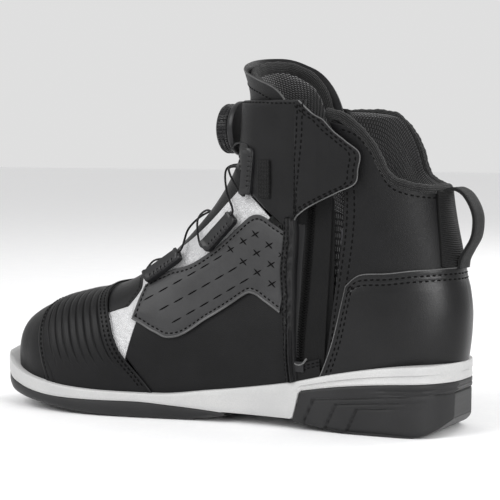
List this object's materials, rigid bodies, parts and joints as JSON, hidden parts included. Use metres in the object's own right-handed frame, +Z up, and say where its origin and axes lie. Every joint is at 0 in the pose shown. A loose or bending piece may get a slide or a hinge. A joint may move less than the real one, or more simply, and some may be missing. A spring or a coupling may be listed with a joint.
{
  "type": "motorcycle riding boot",
  "caption": "Ankle-height riding boot for the right foot with a dial lace closure, side zip under a flap, white cup midsole and separate heel block.",
  "frame": {"origin": "on the ground under the middle of the heel block, at the boot's long centre line", "axes": "+Z up, toe towards -X, heel towards +X, inner (medial) side towards -Y, outer side towards +Y"},
  "size_m": [0.3099, 0.1105, 0.2103],
  "materials": {
    "leather": "semi-gloss full-grain leather",
    "soft_leather": "satin microfibre leather",
    "reflective": "fine-grained reflective fabric",
    "mesh": "padded knit mesh",
    "webbing": "woven polyester webbing",
    "moulded_plastic": "moulded nylon",
    "midsole_foam": "smooth moulded foam rubber",
    "outsole_rubber": "matte moulded rubber",
    "board": "pressed fibre board",
    "foam": "open-cell foam",
    "steel": "stamped steel",
    "lace_cord": "coated braided cord"
  },
  "bodies": {
    "boot": {"outsole_forefoot": "outsole_rubber", "heel_block": "outsole_rubber", "midsole": "midsole_foam", "shank": "steel", "insole_board": "board", "footbed": "foam", "toe_cap": "leather", "ribbed_toe_panel": "leather", "toe_puff": "board", "vamp": "soft_leather", "throat_panel_medial": "reflective", "throat_panel_lateral": "reflective", "quarter_medial": "leather", "quarter_lateral": "leather", "side_overlay_medial": "soft_leather", "side_overlay_lateral": "soft_leather", "ankle_panel_medial": "soft_leather", "ankle_panel_lateral": "soft_leather", "rear_quarter": "leather", "heel_counter": "leather", "heel_stiffener": "board", "loop_base_tape": "webbing", "pull_loop": "webbing", "vamp_lining": "mesh", "quarter_lining": "mesh", "collar_padding": "mesh", "ankle_protector_medial": "foam", "ankle_protector_lateral": "foam", "zip_tape_front": "webbing", "zip_tape_rear": "webbing", "zip_teeth_front": "moulded_plastic", "zip_teeth_rear": "moulded_plastic", "zip_facing": "soft_leather", "storm_flap": "webbing", "zip_lower_stop": "moulded_plastic", "zip_upper_stop": "moulded_plastic", "loop_patch": "webbing", "lace": "lace_cord", "guide_tab_medial": "webbing", "lace_guide_upper_medial": "moulded_plastic", "lace_guide_middle_medial": "moulded_plastic", "lace_guide_lower_medial": "moulded_plastic", "guide_tab_lateral": "webbing", "lace_guide_upper_lateral": "moulded_plastic", "lace_guide_middle_lateral": "moulded_plastic", "lace_guide_lower_lateral": "moulded_plastic"},
    "tongue": {"tongue": "soft_leather", "tongue_padding": "mesh", "dial_base": "moulded_plastic", "dial_ratchet": "steel"},
    "dial_spool": {"dial_spool": "moulded_plastic"},
    "dial_knob": {"dial_knob": "moulded_plastic", "dial_cap": "moulded_plastic"},
    "zip_slider": {"zip_slider": "steel"},
    "zip_pull": {"zip_pull": "steel"},
    "closure_flap": {"closure_flap": "soft_leather", "hook_patch": "webbing"}
  },
  "joints": [
    {"name": "tongue_tilt", "type": "hinge", "parent": "boot", "child": "tongue", "pos_m": [-0.15, 0, 0.088], "axis": [0, -1, 0], "range_deg": [0, 12], "deforming": ["tongue", "tongue_padding", "lace"]},
    {"name": "dial_turn", "type": "hinge", "parent": "tongue", "child": "dial_spool", "pos_m": [-0.105, 0, 0.172], "axis": [-1, 0, 0], "continuous": true},
    {"name": "dial_lift", "type": "slide", "parent": "dial_spool", "child": "dial_knob", "axis": [-1, 0, 0], "range_m": [0, 0.0025]},
    {"name": "zip_slide", "type": "slide", "parent": "boot", "child": "zip_slider", "axis": [-0.0755, 0, -0.9971], "range_m": [0, 0.088]},
    {"name": "zip_pull_swing", "type": "hinge", "parent": "zip_slider", "child": "zip_pull", "pos_m": [-0.0353, -0.0395, 0.145], "axis": [0, 1, 0], "range_deg": [-20, 10]},
    {"name": "flap_open", "type": "hinge", "parent": "boot", "child": "closure_flap", "pos_m": [-0.04674, -0.03849, 0.12251], "axis": [-0.1028, 0.0787, -0.9916], "range_deg": [0, 120]}
  ]
}
